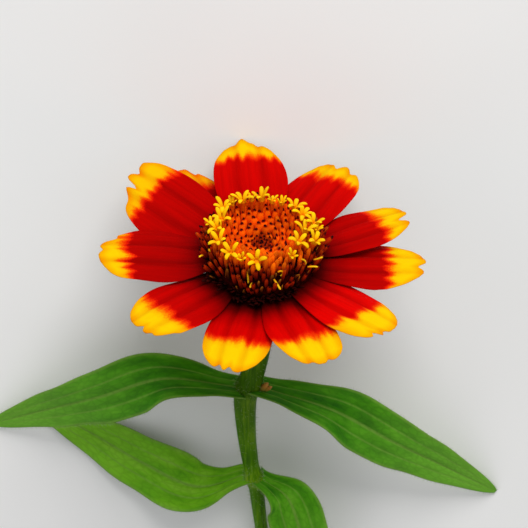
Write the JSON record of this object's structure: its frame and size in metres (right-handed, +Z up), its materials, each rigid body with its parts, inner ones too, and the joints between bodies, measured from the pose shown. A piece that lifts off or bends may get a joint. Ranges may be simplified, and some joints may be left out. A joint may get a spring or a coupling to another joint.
{
  "type": "zinnia flower",
  "caption": "Picked single zinnia lying down: red ray florets with yellow tips round a domed orange disc, green bracts, a leafy stem with a cut end.",
  "frame": {"origin": "centre of the footprint on the surface that the flower lies on", "axes": "+Z up from the surface; the head faces +Y and a little up; the stem runs back along -Y to its cut end; +X is the picture's right"},
  "size_m": [0.089, 0.0918, 0.0459],
  "materials": {
    "petal": "satin",
    "disc": "matte",
    "floret": "satin",
    "bract": "matte",
    "leaf": "matte",
    "stem": "matte"
  },
  "bodies": {
    "root": {"disc": "disc", "inner_bract_1": "bract", "inner_bract_2": "bract", "inner_bract_3": "bract", "inner_bract_4": "bract", "inner_bract_5": "bract", "inner_bract_6": "bract", "inner_bract_7": "bract", "inner_bract_8": "bract", "lower_leaf_left": "leaf", "lower_leaf_right": "leaf", "middle_bract_1": "bract", "middle_bract_2": "bract", "middle_bract_3": "bract", "middle_bract_4": "bract", "middle_bract_5": "bract", "middle_bract_6": "bract", "middle_bract_7": "bract", "middle_bract_8": "bract", "open_floret_01": "floret", "open_floret_02": "floret", "open_floret_03": "floret", "open_floret_04": "floret", "open_floret_05": "floret", "open_floret_06": "floret", "open_floret_07": "floret", "open_floret_08": "floret", "open_floret_09": "floret", "open_floret_10": "floret", "open_floret_11": "floret", "open_floret_12": "floret", "open_floret_13": "floret", "open_floret_14": "floret", "outer_bract_1": "bract", "outer_bract_2": "bract", "outer_bract_3": "bract", "outer_bract_4": "bract", "outer_bract_5": "bract", "outer_bract_6": "bract", "outer_bract_7": "bract", "outer_bract_8": "bract", "ray_floret_01": "petal", "ray_floret_02": "petal", "ray_floret_03": "petal", "ray_floret_04": "petal", "ray_floret_05": "petal", "ray_floret_06": "petal", "ray_floret_07": "petal", "ray_floret_08": "petal", "ray_floret_09": "petal", "ray_floret_10": "petal", "ray_floret_11": "petal", "stem": "stem", "upper_leaf_left": "leaf", "upper_leaf_right": "leaf"}
  },
  "joints": []
}
